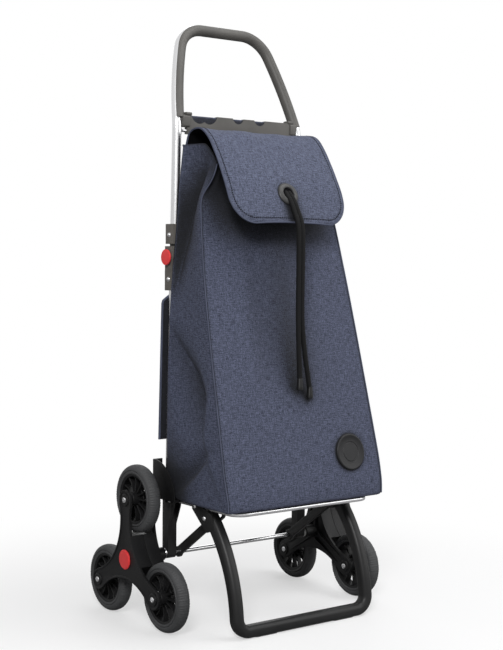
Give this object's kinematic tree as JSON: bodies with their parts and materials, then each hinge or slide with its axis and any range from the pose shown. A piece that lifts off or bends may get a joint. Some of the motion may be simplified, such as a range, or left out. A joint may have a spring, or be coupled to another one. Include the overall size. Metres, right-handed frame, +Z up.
{
  "type": "folding shopping trolley",
  "caption": "Tall fabric shopping bag with a lift-up flap on a folding tubular frame, with a loop handle, a drop-down foot and stair-climbing wheel clusters.",
  "frame": {"origin": "on the ground, at the middle of the trolley's overall width and depth", "axes": "+Z up; the bag's front panel faces -Y; the axle and every wheel axis run along X"},
  "size_m": [0.498, 0.3694, 1.0877],
  "materials": {
    "tyre": "soft grey-black ribbed tread",
    "rim": "moulded black spokes",
    "cluster": "satin moulded black",
    "cap_red": "smooth red",
    "bush": "plain bearing plastic",
    "steel": "zinc plated",
    "axle": "bright rod",
    "frame_black": "black satin coating",
    "aluminium": "polished",
    "guard": "satin moulded black",
    "hinge": "warm grey moulded",
    "grip": "warm grey soft touch",
    "board": "black stiffener",
    "cloth": "heathered dark blue weave",
    "flap_cloth": "heathered dark blue weave over a stiffener",
    "ring": "dark grey ring",
    "cord": "black braid",
    "cord_tip": "black moulded tips",
    "badge": "plain black disc"
  },
  "bodies": {
    "frame": {"axle": "axle", "axle_clips": "steel", "leg_left": "frame_black", "leg_right": "frame_black", "lower_tube_left": "aluminium", "lower_tube_right": "aluminium", "guard_left": "guard", "guard_right": "guard", "hinge_lower_left": "hinge", "hinge_lower_right": "hinge", "hinge_rivets_lower": "steel", "platform_pins": "steel", "bag_lower": "cloth", "rear_pocket": "cloth", "badge": "badge"},
    "handle": {"hinge_upper_left": "hinge", "hinge_upper_right": "hinge", "hinge_rivets_upper": "steel", "handle_tube": "aluminium", "handle_grip": "grip", "hanger_bar": "grip", "hanger_rod": "steel", "bag_upper": "cloth"},
    "flap_cover": {"flap": "flap_cloth", "eyelet": "ring", "cords": "cord", "cord_ends": "cord_tip"},
    "platform": {"platform_frame": "aluminium", "base_board": "board", "knee_rivets": "steel"},
    "foot": {"foot_bow": "frame_black", "foot_pins": "steel"},
    "strut_left": {"strut_left": "frame_black"},
    "button_left": {"lock_button_left": "cap_red"},
    "cluster_left": {"cluster_outer_left": "cluster", "cluster_inner_left": "cluster", "hub_cap_left": "cap_red", "hub_bush_left": "bush", "wheel_bolts_left": "steel"},
    "wheel_left_top": {"tyre_left_top": "tyre", "rim_left_top": "rim"},
    "wheel_left_rear": {"tyre_left_rear": "tyre", "rim_left_rear": "rim"},
    "wheel_left_front": {"tyre_left_front": "tyre", "rim_left_front": "rim"},
    "strut_right": {"strut_right": "frame_black"},
    "button_right": {"lock_button_right": "cap_red"},
    "cluster_right": {"cluster_outer_right": "cluster", "cluster_inner_right": "cluster", "hub_cap_right": "cap_red", "hub_bush_right": "bush", "wheel_bolts_right": "steel"},
    "wheel_right_top": {"tyre_right_top": "tyre", "rim_right_top": "rim"},
    "wheel_right_rear": {"tyre_right_rear": "tyre", "rim_right_rear": "rim"},
    "wheel_right_front": {"tyre_right_front": "tyre", "rim_right_front": "rim"}
  },
  "joints": [
    {"name": "handle_fold", "type": "hinge", "parent": "frame", "child": "handle", "pos_m": [0, 0.0313, 0.653], "axis": [-1, 0, 0], "range_deg": [0, 120], "deforming": ["bag_upper", "bag_lower"]},
    {"name": "flap_lift", "type": "hinge", "parent": "handle", "child": "flap_cover", "pos_m": [0, 0.0113, 0.872], "axis": [-1, 0, 0], "range_deg": [0, 90]},
    {"name": "platform_fold", "type": "hinge", "parent": "frame", "child": "platform", "pos_m": [0, 0.0153, 0.214], "axis": [-1, 0, 0], "range_deg": [0, 80], "deforming": ["bag_lower", "badge"]},
    {"name": "foot_fold", "type": "hinge", "parent": "platform", "child": "foot", "pos_m": [0, -0.0573, 0.214], "axis": [-1, 0, 0], "range_deg": [-96, 0]},
    {"name": "strut_left_fold", "type": "hinge", "parent": "frame", "child": "strut_left", "pos_m": [-0.1305, 0.0313, 0.11435], "axis": [-1, 0, 0], "range_deg": [0, 36]},
    {"name": "button_left_press", "type": "slide", "parent": "frame", "child": "button_left", "axis": [1, 0, 0], "range_m": [0, 0.0025]},
    {"name": "cluster_left_spin", "type": "hinge", "parent": "frame", "child": "cluster_left", "pos_m": [-0.219, 0.0313, 0.11435], "axis": [1, 0, 0], "continuous": true},
    {"name": "wheel_left_top_spin", "type": "hinge", "parent": "cluster_left", "child": "wheel_left_top", "pos_m": [-0.219, 0.0313, 0.22105], "axis": [1, 0, 0], "continuous": true},
    {"name": "wheel_left_rear_spin", "type": "hinge", "parent": "cluster_left", "child": "wheel_left_rear", "pos_m": [-0.219, 0.1237, 0.061], "axis": [1, 0, 0], "continuous": true},
    {"name": "wheel_left_front_spin", "type": "hinge", "parent": "cluster_left", "child": "wheel_left_front", "pos_m": [-0.219, -0.06111, 0.061], "axis": [1, 0, 0], "continuous": true},
    {"name": "strut_right_fold", "type": "hinge", "parent": "frame", "child": "strut_right", "pos_m": [0.1305, 0.0313, 0.11435], "axis": [-1, 0, 0], "range_deg": [0, 36]},
    {"name": "button_right_press", "type": "slide", "parent": "frame", "child": "button_right", "axis": [-1, 0, 0], "range_m": [0, 0.0025]},
    {"name": "cluster_right_spin", "type": "hinge", "parent": "frame", "child": "cluster_right", "pos_m": [0.219, 0.0313, 0.11435], "axis": [1, 0, 0], "continuous": true},
    {"name": "wheel_right_top_spin", "type": "hinge", "parent": "cluster_right", "child": "wheel_right_top", "pos_m": [0.219, 0.0313, 0.22105], "axis": [1, 0, 0], "continuous": true},
    {"name": "wheel_right_rear_spin", "type": "hinge", "parent": "cluster_right", "child": "wheel_right_rear", "pos_m": [0.219, 0.1237, 0.061], "axis": [1, 0, 0], "continuous": true},
    {"name": "wheel_right_front_spin", "type": "hinge", "parent": "cluster_right", "child": "wheel_right_front", "pos_m": [0.219, -0.06111, 0.061], "axis": [1, 0, 0], "continuous": true}
  ],
  "couplings": [
    {"joint": "foot_fold", "follows": "platform_fold", "ratio": -1.2},
    {"joint": "strut_left_fold", "follows": "platform_fold", "ratio": 0.443},
    {"joint": "strut_right_fold", "follows": "platform_fold", "ratio": 0.443}
  ]
}
